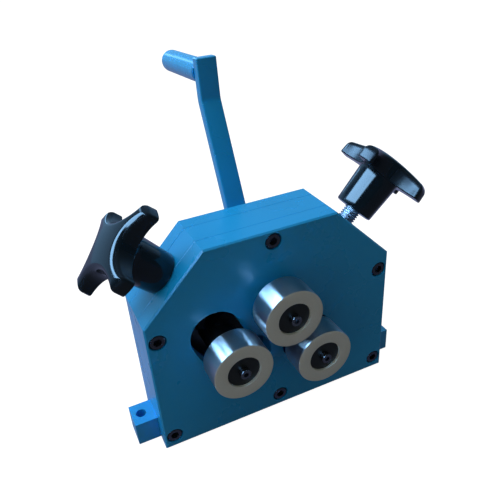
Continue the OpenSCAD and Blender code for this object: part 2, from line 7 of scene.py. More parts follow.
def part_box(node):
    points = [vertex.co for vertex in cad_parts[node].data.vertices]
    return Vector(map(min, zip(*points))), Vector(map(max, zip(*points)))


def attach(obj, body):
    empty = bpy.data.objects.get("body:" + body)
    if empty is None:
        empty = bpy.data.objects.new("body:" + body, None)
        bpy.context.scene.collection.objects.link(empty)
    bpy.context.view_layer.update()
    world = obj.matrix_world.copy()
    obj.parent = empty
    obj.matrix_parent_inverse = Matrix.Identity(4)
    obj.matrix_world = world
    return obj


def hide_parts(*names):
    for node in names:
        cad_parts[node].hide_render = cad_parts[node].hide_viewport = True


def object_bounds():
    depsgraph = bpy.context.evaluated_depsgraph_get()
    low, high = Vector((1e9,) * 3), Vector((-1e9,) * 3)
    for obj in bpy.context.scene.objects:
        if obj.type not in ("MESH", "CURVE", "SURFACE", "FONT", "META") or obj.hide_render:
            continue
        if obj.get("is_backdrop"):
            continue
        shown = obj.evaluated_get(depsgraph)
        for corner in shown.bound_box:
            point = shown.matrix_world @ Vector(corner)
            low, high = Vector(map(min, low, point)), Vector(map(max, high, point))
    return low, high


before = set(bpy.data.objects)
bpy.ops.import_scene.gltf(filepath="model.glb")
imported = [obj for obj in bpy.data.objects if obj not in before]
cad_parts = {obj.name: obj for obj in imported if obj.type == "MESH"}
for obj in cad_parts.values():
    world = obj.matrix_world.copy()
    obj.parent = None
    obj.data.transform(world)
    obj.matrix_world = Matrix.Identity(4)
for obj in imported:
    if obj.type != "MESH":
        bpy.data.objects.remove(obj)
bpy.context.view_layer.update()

mm = 0.001
mergeBelow = 0.002  # points closer than this, in mm, become one
onAxis = 0.001  # a ring of this radius, in mm, closes to a point
scene = bpy.context.scene
print("frame loaded,", len(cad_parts), "CAD nodes")


def linearColor(hexText):
    # sRGB hex to the linear colour that Blender works in
    parts = [int(hexText[i:i + 2], 16) / 255 for i in (1, 3, 5)]
    return tuple(c / 12.92 if c <= 0.04045 else ((c + 0.055) / 1.055) ** 2.4 for c in parts) + (1.0,)


def addNode(tree, kind, links=None, **settings):
    # one node; a link is a node, for its first output, or (node, output), and anything else is a value
    made = tree.nodes.new(kind)
    for key, value in settings.items():
        setattr(made, key, value)
    for key, value in (links or {}).items():
        if isinstance(value, bpy.types.Node):
            value = (value, 0)
        if isinstance(value, tuple) and isinstance(value[0], bpy.types.Node):
            tree.links.new(value[0].outputs[value[1]], made.inputs[key])
        else:
            made.inputs[key].default_value = value
    return made


def linkPiece(name, points, faces, smoothBelow=32):
    # a mesh piece from points in mm, closed and facing outwards
    data = bpy.data.meshes.new(name)
    data.from_pydata([Vector(p) * mm for p in points], [], faces)
    work = bmesh.new()
    work.from_mesh(data)
    bmesh.ops.remove_doubles(work, verts=work.verts, dist=mergeBelow * mm)
    bmesh.ops.recalc_face_normals(work, faces=work.faces)
    work.to_mesh(data)
    work.free()
    data.polygons.foreach_set("use_smooth", [True] * len(data.polygons))
    data.set_sharp_from_angle(angle=math.radians(smoothBelow))
    piece = bpy.data.objects.new(name, data)
    scene.collection.objects.link(piece)
    return piece


def skinRings(rings, wrap=False):
    # faces between rings of equal count; wrap joins the last ring to the first, or else both ends are closed
    points = [p for ring in rings for p in ring]
    faces = []
    count = len(rings[0])
    for k in range(len(rings) if wrap else len(rings) - 1):
        a, b = k * count, (k + 1) % len(rings) * count
        for i in range(count):
            j = (i + 1) % count
            faces.append((a + i, a + j, b + j, b + i))
    if not wrap:
        for start in (0, (len(rings) - 1) * count):
            middle = sum((Vector(p) for p in points[start:start + count]), Vector()) / count
            points.append(middle)
            for i in range(count):
                faces.append((start + i, start + (i + 1) % count, len(points) - 1))
    return points, faces


def joinShapes(*shapes):
    # several lots of points and faces as one
    points, faces = [], []
    for morePoints, moreFaces in shapes:
        start = len(points)
        points += morePoints
        faces += [tuple(start + i for i in face) for face in moreFaces]
    return points, faces


def roundCorners(line, radii, steps=4, closed=True):
    # corners of a flat outline made round, each with its own radius in mm
    result = []
    count = len(line)
    for i in range(count):
        here = Vector(line[i])
        radius = radii[i] if isinstance(radii, (list, tuple)) else radii
        if radius <= 0 or (not closed and i in (0, count - 1)):
            result.append(here)
            continue
        before = (Vector(line[i - 1]) - here).normalized()
        after = (Vector(line[(i + 1) % count]) - here).normalized()
        half = before.angle(after) / 2
        centre = here + (before + after).normalized() * (radius / math.sin(half))
        start = here + before * (radius / math.tan(half)) - centre
        end = here + after * (radius / math.tan(half)) - centre
        turn = start.angle(end)
        for k in range(steps + 1):
            t = k / steps
            between = start * math.sin((1 - t) * turn) + end * math.sin(t * turn)
            result.append(centre + between / math.sin(turn))
    return result


def ringProfile(inner, outer, thick, rounds):
    # a flat ring's profile; its corners are rounded in the order bore front, rim front, rim back, bore back
    return roundCorners([(inner, 0), (outer, 0), (outer, thick), (inner, thick)], rounds, steps=3)


def turnedRings(profile, foot, sides):
    # rings of a turned form on the Y axis through foot; the profile is (radius, distance along +Y)
    x, y, z = foot
    angles = [2 * math.pi * i / sides for i in range(sides)]
    return [[(x + r * math.cos(a), y + t, z + r * math.sin(a)) for a in angles] for r, t in profile]


def turnedPiece(name, profile, node, front, sides):
    # a turned piece with a bore, on its CAD node's own axis, from front backwards
    low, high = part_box(node)
    x, z = (low.x + high.x) / 2 / mm, (low.z + high.z) / 2 / mm
    points, faces = skinRings(turnedRings(profile, (x, front, z), sides), wrap=True)
    return linkPiece(name, points, faces)


def finishPiece(piece, material, body, node):
    # its material, the body that it rides on and the CAD node that it stands for
    piece.data.materials.append(material)
    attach(piece, body)
    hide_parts(node)


def newMaterial(name):
    # an empty node material
    material = bpy.data.materials.new(name)
    material.use_nodes = True
    material.node_tree.nodes.clear()
    return material, material.node_tree


mixFirst, mixSecond, mixColor = 6, 7, 2  # a Mix node's two colour inputs and its colour output

# sprayed gloss enamel over machined steel: deep blue, a clear gloss that catches the light, faint orange peel
enamelLook = {
    "blue": "#1690D8", "deep": "#1487CD", "cloud": 30, "smoothest": 0.24, "roughest": 0.32,
    "peel": 1.8, "peelHeight": 0.008, "peelStrength": 0.3, "ior": 1.5, "coat": 0.2, "coatRough": 0.12,
}


def makeEnamel():
    s = enamelLook
    material, tree = newMaterial("gloss_blue_enamel")
    place = addNode(tree, "ShaderNodeTexCoord")
    cloud = addNode(tree, "ShaderNodeTexNoise",
        {"Vector": (place, "Object"), "Scale": 1 / (s["cloud"] * mm), "Detail": 3.0})
    blend = addNode(tree, "ShaderNodeMix",
        {0: cloud, mixFirst: linearColor(s["deep"]), mixSecond: linearColor(s["blue"])}, data_type="RGBA")
    peel = addNode(tree, "ShaderNodeTexNoise",
        {"Vector": (place, "Object"), "Scale": 1 / (s["peel"] * mm), "Detail": 1.0})
    bump = addNode(tree, "ShaderNodeBump",
        {"Height": peel, "Strength": s["peelStrength"], "Distance": s["peelHeight"] * mm})
    rough = addNode(tree, "ShaderNodeMapRange",
        {"Value": cloud, "To Min": s["smoothest"], "To Max": s["roughest"]})
    shader = addNode(tree, "ShaderNodeBsdfPrincipled", {"Base Color": (blend, mixColor), "Roughness": rough,
        "Normal": bump, "IOR": s["ior"], "Coat Weight": s["coat"], "Coat Roughness": s["coatRough"]})
    addNode(tree, "ShaderNodeOutputMaterial", {"Surface": shader})
    return material


# ground tool steel, for a roller's round side: ground round the axis, so highlights are drawn out lengthwise
steelLook = {
    "light": "#E2E4E6", "dark": "#C8CCD0", "grit": 0.5, "rough": 0.33, "spread": 0.05,
    "stretch": 0.95, "stretchTurn": 0.25,
}


def makeGroundSteel():
    s = steelLook
    material, tree = newMaterial("ground_tool_steel")
    place = addNode(tree, "ShaderNodeTexCoord")
    grain = addNode(tree, "ShaderNodeTexNoise",
        {"Vector": (place, "Object"), "Scale": 1 / (s["grit"] * mm), "Detail": 2.0})
    blend = addNode(tree, "ShaderNodeMix",
        {0: grain, mixFirst: linearColor(s["dark"]), mixSecond: linearColor(s["light"])}, data_type="RGBA")
    rough = addNode(tree, "ShaderNodeMapRange", {"Value": grain,
        "To Min": s["rough"] * (1 - s["spread"]), "To Max": s["rough"] * (1 + s["spread"])})
    around = addNode(tree, "ShaderNodeTangent", direction_type="RADIAL", axis="Y")
    shader = addNode(tree, "ShaderNodeBsdfPrincipled", {"Base Color": (blend, mixColor), "Metallic": 1.0,
        "Roughness": rough, "Anisotropic": s["stretch"], "Anisotropic Rotation": s["stretchTurn"],
        "Tangent": around})
    addNode(tree, "ShaderNodeOutputMaterial", {"Surface": shader})
    return material


# the other finishes have two close colours and a roughness that follow one grain, whose size is given in mm
grainLook = {"smoothest": 0.9, "roughest": 1.15}


def makeGrained(name, low, high, grain, rough, metal):
    s = grainLook
    material, tree = newMaterial(name)
    place = addNode(tree, "ShaderNodeTexCoord")
    pattern = addNode(tree, "ShaderNodeTexNoise",
        {"Vector": (place, "Object"), "Scale": 1 / (grain * mm), "Detail": 3.0})
    blend = addNode(tree, "ShaderNodeMix",
        {0: pattern, mixFirst: linearColor(low), mixSecond: linearColor(high)}, data_type="RGBA")
    spread = addNode(tree, "ShaderNodeMapRange",
        {"Value": pattern, "To Min": rough * s["smoothest"], "To Max": rough * s["roughest"]})
    shader = addNode(tree, "ShaderNodeBsdfPrincipled",
        {"Base Color": (blend, mixColor), "Metallic": metal, "Roughness": spread})
    addNode(tree, "ShaderNodeOutputMaterial", {"Surface": shader})
    return material


enamel = makeEnamel()
groundSteel = makeGroundSteel()
# a roller's turned ends are matte and a little warm
turnedEnd = makeGrained("fine_turned_tool_steel", "#E2DED5", "#EEEAE1", grain=0.8, rough=0.5, metal=0.6)
# bright zinc over turned steel: pale, bluish, soft light and dark bands on the thread
zincSteel = makeGrained("bright_zinc_plated_steel", "#B8BEC8", "#D2D7DF", grain=0.6, rough=0.48, metal=1.0)
# turned and hobbed steel left bare: grey with a soft sheen
machinedSteel = makeGrained("machined_bright_steel", "#8F9296", "#A9ACB0", grain=0.8, rough=0.32, metal=1.0)
# black oxide keeps the metal's glints on a nearly black surface
blackOxide = makeGrained("black_oxide_steel", "#5A5C66", "#6C6E78", grain=0.7, rough=0.22, metal=0.95)
# the disc screws' black oxide is a lighter copy, so their heads show bright ring glints: the reflections are
# real, the lightness is painted highlight
oxideLightenedForGlints = makeGrained("black_oxide_steel_lightened_for_glints", "#7C8088", "#90949C", grain=0.7, rough=0.26, metal=1.0)
# arms and shoes are black steel, made near black and dull so that the slot in front of the arm reads nearly
# black: painted shade
blackSteelDarkenedAsSlotShade = makeGrained("black_steel_darkened_as_slot_shade", "#080B12", "#0E121A", grain=0.9, rough=0.5, metal=0.0)
# pressed and sintered bronze: brownish yellow, darker where the oil sits
sinteredBronze = makeGrained("oiled_sintered_bronze", "#8C6A33", "#A67F40", grain=0.7, rough=0.4, metal=1.0)
# moulded phenolic: black and glossy from the mould, with a soft swirl
phenolic = makeGrained("moulded_black_phenolic", "#0B151F", "#101C29", grain=6.0, rough=0.12, metal=0.0)
# the lobes' side walls come satin from the mould's parting
satinPhenolic = makeGrained("satin_black_phenolic", "#0B151F", "#101C29", grain=6.0, rough=0.34, metal=0.0)
# turned acetal: black with a soft sheen
blackAcetal = makeGrained("turned_black_acetal", "#15191B", "#1C2123", grain=1.0, rough=0.38, metal=0.0)
print("materials made")


# where the two hand screws leave the housing, and how far each stands out of its corner, in mm
cornerSize = {"x": 66.5, "z": 123, "out": {"left": 0.3, "right": 9}}


def cornerFrame(side):
    # the hand screw's frame: Z out of the corner at 45 degrees, X across it; the right one is mirrored
    s = math.sqrt(0.5)
    mirror = -1 if side == "right" else 1
    x, z = mirror * -cornerSize["x"], cornerSize["z"]
    return Matrix(((mirror * s, 0, mirror * -s, x), (0, 1, 0, 0), (s, 0, s, z), (0, 0, 0, 1)))


# turn is how each knob stands, in degrees; a lobe's face is a side wall where it looks along the axis by less
# than sideFacing
knobSize = {
    "starRadius": 33.5, "rimHeight": 9.5, "lean": 0.4, "crown": 5, "valleyIn": 15.25, "valleyRadius": 20.2,
    "tipRound": 2.4, "tipLoss": 0.3, "tipLeast": 0.2, "edgeRound": 4.2, "underRound": 0.8,
    "hubHeight": 28, "hubLow": 13.5, "hubHigh": 14.75, "hubEdge": 1, "hubBevel": 0.3,
    "filletOut": 0.2, "filletDrop": 0.4, "bore": 6.05, "boreDepth": 22,
    "turn": {"left": 77, "right": 68}, "smoothBelow": 40, "sideFacing": 0.6,
    "tipSteps": 6, "cornerSteps": 10, "valleySteps": 40, "hubSteps": 6, "underSteps": 4, "edgeSteps": 16,
    "domeSteps": 14,
}


def polar(radius, angle):
    return Vector((radius * math.cos(angle), radius * math.sin(angle)))


def angleOf(arrow):
    return math.atan2(arrow.y, arrow.x)


def shortTurn(angle):
    # the same turn, between minus and plus half a circle
    return (angle + math.pi) % (2 * math.pi) - math.pi


def arcPoints(centre, radius, start, turn, steps):
    # points along an arc, without its last
    return [centre + polar(radius, start + turn * k / steps) for k in range(steps)]


def starOutline(outer, valley, tipRound):
    # one ring of the four-lobed outline: tip arc, corner, valley, corner, four times round
    s = knobSize
    centre = s["valleyIn"] + s["valleyRadius"]
    cornerAt = outer - tipRound
    reach = valley + tipRound
    swing = math.acos((cornerAt ** 2 + centre ** 2 - reach ** 2) / (2 * cornerAt * centre))
    tipHalf = math.pi / 4 - swing
    ring = []
    for lobe in range(4):
        axis = lobe * math.pi / 2
        middle, nextAxis = axis + math.pi / 4, axis + math.pi / 2
        bowl = polar(centre, middle)
        ring += arcPoints(Vector((0, 0)), outer, axis - tipHalf, 2 * tipHalf, s["tipSteps"])
        corner = polar(cornerAt, axis + tipHalf)
        turn = shortTurn(angleOf(bowl - corner) - axis - tipHalf)
        ring += arcPoints(corner, tipRound, axis + tipHalf, turn, s["cornerSteps"])
        back = angleOf(corner - bowl)
        ring += arcPoints(bowl, valley, back, 2 * shortTurn(middle + math.pi - back), s["valleySteps"])
        corner = polar(cornerAt, nextAxis - tipHalf)
        start = angleOf(bowl - corner)
        ring += arcPoints(corner, tipRound, start, shortTurn(nextAxis - tipHalf - start), s["cornerSteps"])
    return ring


def makeKnob(side):
    s = knobSize
    domeEdge = s["starRadius"] - s["lean"]
    domeRadius = (domeEdge ** 2 + s["crown"] ** 2) / 2 / s["crown"]

    def domeHeight(r):
        return s["rimHeight"] + math.sqrt(domeRadius ** 2 - r * r) - (domeRadius - s["crown"])

    # bore, base edge, hub and the small fillet under the lobes
    hub = [(s["bore"], s["boreDepth"]), (s["bore"], 0), (s["hubLow"] - s["hubEdge"], 0),
        (s["hubLow"] - s["hubBevel"], s["hubBevel"]), (s["hubLow"], s["hubEdge"])]
    widening, rise = s["hubHigh"] - s["hubLow"], s["hubHeight"] - s["hubEdge"] - s["filletDrop"]
    for k in range(1, s["hubSteps"] + 1):
        hub.append((s["hubLow"] + widening * k / s["hubSteps"], s["hubEdge"] + rise * k / s["hubSteps"]))
    hub.append((s["hubHigh"] + s["filletOut"], s["hubHeight"]))
    base = starOutline(s["starRadius"], s["valleyRadius"], s["tipRound"])
    rings = [[(r * p.x / p.length, r * p.y / p.length, z) for p in base] for r, z in hub]
    for k in range(s["underSteps"] + 1):  # rounded lower edge
        a = math.pi / 2 * k / s["underSteps"]
        inset = s["underRound"] * (1 - math.sin(a))
        z = s["hubHeight"] + s["underRound"] * (1 - math.cos(a))
        ring = starOutline(s["starRadius"] - inset, s["valleyRadius"] + inset, s["tipRound"] - inset)
        rings.append([(p.x, p.y, z) for p in ring])
    for k in range(s["edgeSteps"] + 1):  # leaning wall into the rounded crown edge
        a = math.pi / 2 * k / s["edgeSteps"]
        inset = s["edgeRound"] * (1 - math.cos(a))
        drop = s["edgeRound"] * (1 - math.sin(a))
        tipRound = max(s["tipRound"] - s["tipLoss"] - inset, s["tipLeast"])
        ring = starOutline(domeEdge - inset, s["valleyRadius"] + inset, tipRound)
        rings.append([(p.x, p.y, s["hubHeight"] + domeHeight(p.length) - drop) for p in ring])
    for k in range(1, s["domeSteps"]):  # the last outline shrinks over the dome towards its top
        t = 1 - k / s["domeSteps"]
        rings.append([(p.x * t, p.y * t, s["hubHeight"] + domeHeight(p.length * t)) for p in ring])
    turn = Matrix.Rotation(math.radians(s["turn"][side]), 4, "Z")
    place = cornerFrame(side) @ Matrix.Translation((0, 0, cornerSize["out"][side])) @ turn
    points, faces = skinRings([[place @ Vector(p) for p in ring] for ring in rings])
    points[-1] = place @ Vector((0, 0, s["hubHeight"] + domeHeight(0)))  # the dome's top closes the last ring
    piece = linkPiece(side + "Knob", points, faces, s["smoothBelow"])
    finishPiece(piece, phenolic, side + "_screw", side + "_knob")
    piece.data.materials.append(satinPhenolic)
    foot = place.to_translation()
    axis = (place.to_3x3() @ Vector((0, 0, 1))).normalized()
    for face in piece.data.polygons:
        away = face.center / mm - foot
        away -= axis * away.dot(axis)
        onLobe = away.length > s["hubHigh"] + s["underRound"]
        face.material_index = 1 if onLobe and abs(face.normal.dot(axis)) < s["sideFacing"] else 0


for side in ("left", "right"):
    makeKnob(side)
print("knobs made")


# crest and root are where the crest ends and the root begins, as shares of the pitch from the crest's middle;
# the mesh has as many rows in a pitch as it has columns round the bar
studSize = {
    "diameter": 12, "pitch": 1.75, "depth": 1.05, "crest": 0.07, "root": 0.42, "chamfer": 1.0, "columns": 28,
    "low": -26.2, "seat": 22, "neck": 2.5, "neckEnd": -34.2, "neckBevel": 0.3, "neckInto": 0.5,
    "neckSides": 48, "groove": 1.4, "pinAt": -30.5, "grooveHalf": 1.3, "smoothBelow": 50,
}


def newTree(name, inputs):
    # a Geometry Nodes tree with named float, integer and material inputs
    tree = bpy.data.node_groups.new(name, "GeometryNodeTree")
    tree.interface.new_socket(name="Geometry", in_out="OUTPUT", socket_type="NodeSocketGeometry")
    tree.interface.new_socket(name="Geometry", in_out="INPUT", socket_type="NodeSocketGeometry")
    for label, kind in inputs:
        tree.interface.new_socket(name=label, in_out="INPUT", socket_type="NodeSocket" + kind)
    return tree, addNode(tree, "NodeGroupInput")


def growMesh(name, tree, start, values):
    # runs a tree on a start mesh with its inputs set, and gives the result as a plain mesh
    carrier = bpy.data.objects.new(name + "Start", start)
    scene.collection.objects.link(carrier)
    modifier = carrier.modifiers.new("grow", "NODES")
    modifier.node_group = tree
    for item in tree.interface.items_tree:
        if item.item_type == "SOCKET" and item.in_out == "INPUT" and item.name in values:
            modifier[item.identifier] = values[item.name]
    bpy.context.view_layer.update()
    grown = bpy.data.meshes.new_from_object(carrier.evaluated_get(bpy.context.evaluated_depsgraph_get()))
    carrier.modifiers.clear()
    bpy.data.objects.remove(carrier)
    grown.name = name
    return grown


def makeThreadTree():
    # a bar whose skin follows a right-hand V thread; the thread runs out at both chamfered ends
    inputs = [("Radius", "Float"), ("Length", "Float"), ("Pitch", "Float"), ("Depth", "Float"),
        ("Chamfer", "Float"), ("Columns", "Int"), ("Steps", "Int"), ("Finish", "Material")]
    tree, given = newTree("woundThread", inputs)
    radius, length = (given, "Radius"), (given, "Length")
    bar = addNode(tree, "GeometryNodeMeshCylinder", {"Vertices": (given, "Columns"),
        "Side Segments": (given, "Steps"), "Radius": radius, "Depth": length}, fill_type="TRIANGLE_FAN")
    parts = addNode(tree, "ShaderNodeSeparateXYZ", {0: addNode(tree, "GeometryNodeInputPosition")})
    x, y, z = (parts, 0), (parts, 1), (parts, 2)
    # where a point lies in its pitch: 0 on the crest, 0.5 in the root
    around = addNode(tree, "ShaderNodeMath", {0: y, 1: x}, operation="ARCTAN2")
    around = addNode(tree, "ShaderNodeMath", {0: around, 1: 2 * math.pi}, operation="DIVIDE")
    along = addNode(tree, "ShaderNodeMath", {0: z, 1: (given, "Pitch")}, operation="DIVIDE")
    phase = addNode(tree, "ShaderNodeMath", {0: along, 1: around}, operation="SUBTRACT")
    phase = addNode(tree, "ShaderNodeMath", {0: phase}, operation="FRACT")
    phase = addNode(tree, "ShaderNodeMath", {0: phase, 1: 0.5}, operation="SUBTRACT")
    phase = addNode(tree, "ShaderNodeMath", {0: phase}, operation="ABSOLUTE")
    groove = addNode(tree, "ShaderNodeMapRange",
        {"Value": phase, "From Min": studSize["crest"], "From Max": studSize["root"]})
    cut = addNode(tree, "ShaderNodeMath", {0: groove, 1: (given, "Depth")}, operation="MULTIPLY")
    # the chamfer's depth there, from the distance to the bar's nearer end
    half = addNode(tree, "ShaderNodeMath", {0: length, 1: 0.5}, operation="MULTIPLY")
    fromMiddle = addNode(tree, "ShaderNodeMath", {0: z}, operation="ABSOLUTE")
    fromEnd = addNode(tree, "ShaderNodeMath", {0: half, 1: fromMiddle}, operation="SUBTRACT")
    taper = addNode(tree, "ShaderNodeMath", {0: (given, "Chamfer"), 1: fromEnd}, operation="SUBTRACT")
    taper = addNode(tree, "ShaderNodeMath", {0: taper, 1: 0.0}, operation="MAXIMUM")
    # the deeper of the two moves the point in
    cut = addNode(tree, "ShaderNodeMath", {0: cut, 1: taper}, operation="MAXIMUM")
    wanted = addNode(tree, "ShaderNodeMath", {0: radius, 1: cut}, operation="SUBTRACT")
    share = addNode(tree, "ShaderNodeMath", {0: wanted, 1: radius}, operation="DIVIDE")
    newX = addNode(tree, "ShaderNodeMath", {0: x, 1: share}, operation="MULTIPLY")
    newY = addNode(tree, "ShaderNodeMath", {0: y, 1: share}, operation="MULTIPLY")
    moved = addNode(tree, "ShaderNodeCombineXYZ", {0: newX, 1: newY, 2: z})
    shaped = addNode(tree, "GeometryNodeSetPosition", {"Geometry": bar, "Position": moved})
    smooth = addNode(tree, "GeometryNodeSetShadeSmooth", {"Geometry": shaped, "Shade Smooth": False})
    whole = addNode(tree, "GeometryNodeRealizeInstances", {"Geometry": smooth})
    painted = addNode(tree, "GeometryNodeSetMaterial", {"Geometry": whole, "Material": (given, "Finish")})
    addNode(tree, "NodeGroupOutput", {0: painted})
    return tree


threadTree = makeThreadTree()


def makeStud(side):
    s = studSize
    length = cornerSize["out"][side] + s["seat"] - s["low"]
    values = {"Radius": s["diameter"] / 2 * mm, "Length": length * mm, "Pitch": s["pitch"] * mm,
        "Depth": s["depth"] * mm, "Chamfer": s["chamfer"] * mm, "Columns": s["columns"],
        "Steps": round(length / s["pitch"] * s["columns"]), "Finish": zincSteel}
    grown = growMesh(side + "Thread", threadTree, bpy.data.meshes.new("threadStart"), values)
    points = [v.co / mm + Vector((0, 0, s["low"] + length / 2)) for v in grown.vertices]
    faces = []
    for face in grown.polygons:  # each quad is split along the thread, between the corners closest in radius
        a = list(face.vertices)
        if len(a) == 4:
            reach = [points[i].xy.length for i in a]
            if abs(reach[0] - reach[2]) > abs(reach[1] - reach[3]):
                a = a[1:] + a[:1]
            faces += [(a[0], a[1], a[2]), (a[0], a[2], a[3])]
        else:
            faces.append(tuple(a))
    bpy.data.meshes.remove(grown)
    # the plain neck with its groove for the pin
    grooveLow, grooveHigh = s["pinAt"] - s["grooveHalf"], s["pinAt"] + s["grooveHalf"]
    neckTop = s["low"] + s["neckInto"]
    neck = [(onAxis, s["neckEnd"]), (s["neck"] - s["neckBevel"], s["neckEnd"]),
        (s["neck"], s["neckEnd"] + s["neckBevel"]), (s["neck"], grooveLow), (s["groove"], grooveLow),
        (s["groove"], grooveHigh), (s["neck"], grooveHigh), (s["neck"], neckTop), (onAxis, neckTop)]
    angles = [2 * math.pi * i / s["neckSides"] for i in range(s["neckSides"])]
    neckRings = [[(r * math.cos(a), r * math.sin(a), z) for a in angles] for r, z in neck]
    points, faces = joinShapes((points, faces), skinRings(neckRings))
    place = cornerFrame(side)
    if side == "right":  # the frame is mirrored there, and a thread isn't
        place = place @ Matrix.Diagonal((1, -1, 1, 1))
    piece = linkPiece(side + "Stud", [place @ Vector(p) for p in points], faces, s["smoothBelow"])
    finishPiece(piece, zincSteel, side + "_screw", side + "_stud")


for side in ("left", "right"):
    makeStud(side)
print("studs made")


# line is the bar's front face in the side view, as (y, height above the crank's axis)
crankSize = {
    "width": 14, "thick": 8, "edge": 0.9, "bend": 14, "bendSteps": 8, "sawnEdge": 0.6,
    "line": [(25.5, 0), (25.5, 28), (62.01, 110), (63.66, 137)], "axisZ": 94,
    "hubFace": 25.5, "hubBore": 6, "hubRadius": 13, "hubRounds": (0.2, 0.8, 0.8, 0.2), "hubSides": 96,
}


def makeCrankArm():
    s = crankSize
    half, w = s["thick"] / 2, s["width"] / 2
    # middle line of the bar in the side view, with rounded bends
    line = [Vector(p) for p in s["line"]]
    normals = []
    for i in range(len(line) - 1):
        d = (line[i + 1] - line[i]).normalized()
        normals.append(Vector((d.y, -d.x)))
    middle = [line[0] + normals[0] * half]
    for i in range(1, len(line) - 1):
        mitre = (normals[i - 1] + normals[i]).normalized()
        middle.append(line[i] + mitre * (half / mitre.dot(normals[i])))
    middle.append(line[-1] + normals[-1] * half)
    path = roundCorners(middle, s["bend"], s["bendSteps"], closed=False)
    section = roundCorners([(-w, -half), (w, -half), (w, half), (-w, half)], s["edge"])

    def acrossBar(here, ahead, outline):
        # an outline stood square to the bar's path
        side = Vector((ahead.y, -ahead.x))
        return [(p.x, here.x + side.x * p.y, s["axisZ"] + here.y + side.y * p.y) for p in outline]

    rings = []
    for i, here in enumerate(path):
        ahead = (path[min(i + 1, len(path) - 1)] - path[max(i - 1, 0)]).normalized()
        rings.append(acrossBar(here, ahead, section))
    # the sawn upper end with its broken edge
    broken = s["sawnEdge"]
    smaller = [Vector((p.x * (1 - broken / w), p.y * (1 - broken / half))) for p in section]
    rings[-1] = acrossBar(path[-1] - ahead * broken, ahead, section)
    rings.append(acrossBar(path[-1], ahead, smaller))
    hub = ringProfile(s["hubBore"], s["hubRadius"], s["thick"], s["hubRounds"])
    hubRings = turnedRings(hub, (0, s["hubFace"], s["axisZ"]), s["hubSides"])
    points, faces = joinShapes(skinRings(rings), skinRings(hubRings, wrap=True))
    finishPiece(linkPiece("crankArm", points, faces), enamel, "crank", "crank_arm")


# foot is where the handle's axis begins, as (y, z); bead is the height of the bead round the foot, and beadIn
# is how deep the groove above it is
handleSize = {
    "radius": 8, "length": 75, "foot": (71.03, 220.5), "lean": 3.5, "footIn": 0.2, "bead": 1.33,
    "beadIn": 0.66, "shoulder": 0.5, "dome": 6.4, "beadSteps": 6, "domeSteps": 10, "sides": 72,
}


def makeHandle():
    s = handleSize
    profile = [(0, 0), (s["radius"] - s["footIn"], 0)]
    grooveAt = s["radius"] - s["beadIn"]
    for k in range(1, s["beadSteps"] + 1):
        a = math.pi * k / s["beadSteps"]
        profile.append((grooveAt + s["beadIn"] * math.sin(a), s["bead"] * (1 - math.cos(a)) / 2))
    profile += [(s["radius"], s["bead"] + s["shoulder"]), (s["radius"], s["length"] / 2)]
    flat, domeFoot = s["radius"] - s["dome"], s["length"] - s["dome"]
    for k in range(s["domeSteps"] + 1):
        a = math.pi / 2 * k / s["domeSteps"]
        profile.append((flat + s["dome"] * math.cos(a), domeFoot + s["dome"] * math.sin(a)))
    profile.append((0, s["length"]))
    tilt = Matrix.Rotation(-math.pi / 2 - math.radians(s["lean"]), 4, "X")
    place = Matrix.Translation((0, s["foot"][0], s["foot"][1])) @ tilt
    angles = [2 * math.pi * i / s["sides"] for i in range(s["sides"])]
    rings = []
    for r, t in profile:
        r = max(r, onAxis)
        rings.append([place @ Vector((r * math.cos(a), r * math.sin(a), t)) for a in angles])
    points, faces = skinRings(rings)
    finishPiece(linkPiece("crankHandle", points, faces), enamel, "crank", "crank_handle")


makeCrankArm()
makeHandle()
print("crank made")


# a face is turned and not ground where it looks along the axis by more than endFacing, or is in the recess
rollerSize = {
    "radius": 20, "length": 19, "bore": 7.03, "discRadius": 11.15, "sink": 4.5, "front": -47.5, "sides": 160,
    "rounds": (0.25, 0.7, 0.7, 0.3, 0, 0), "endFacing": 0.8, "recessEdge": 0.4,
}
discSize = {
    "hole": 2.05, "radius": 11.1, "thick": 3, "rounds": (0.1, 0.5, 0.2, 0.1), "front": -46, "sides": 96,
}
rollerBodies = {"drive": "crank", "left": "left_spindle", "right": "right_spindle"}


def makeRoller(prefix, body):
    s, node = rollerSize, prefix + "_roller"
    inner, outer, bore = s["discRadius"], s["radius"], s["bore"]
    line = [(inner, 0), (outer, 0), (outer, s["length"]), (bore, s["length"]), (bore, s["sink"]),
        (inner, s["sink"])]
    piece = turnedPiece(prefix + "Roller", roundCorners(line, s["rounds"]), node, s["front"], s["sides"])
    finishPiece(piece, groundSteel, body, node)
    piece.data.materials.append(turnedEnd)
    low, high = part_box(node)
    middle = Vector(((low.x + high.x) / 2, 0, (low.z + high.z) / 2))
    for face in piece.data.polygons:
        reach = (face.center - middle).xz.length / mm
        turned = abs(face.normal.y) > s["endFacing"] or reach < s["discRadius"] + s["recessEdge"]
        face.material_index = 1 if turned else 0


def makeDisc(prefix, body):
    s = discSize
    profile = ringProfile(s["hole"], s["radius"], s["thick"], s["rounds"])
    piece = turnedPiece(prefix + "Disc", profile, prefix + "_disc", s["front"], s["sides"])
    finishPiece(piece, blackAcetal, body, prefix + "_disc")


for prefix, body in rollerBodies.items():
    makeRoller(prefix, body)
    makeDisc(prefix, body)
print("rollers made")


screwSizes = {
    "plate": {"head": 10, "height": 6, "flats": 5, "socket": 3, "edge": 0.7, "shank": 5.8, "grip": 33.7,
        "finish": blackOxide},
    "disc": {"head": 7, "height": 4, "flats": 3.01, "socket": 2, "edge": 0.5, "shank": 3.9, "grip": 14,
        # a lighter copy of the black oxide, for the disc screws' glints: painted highlight
        "finish": oxideLightenedForGlints},
}
screwMesh = {"headSides": 64, "headRows": 12, "shankSides": 32, "smoothBelow": 25}


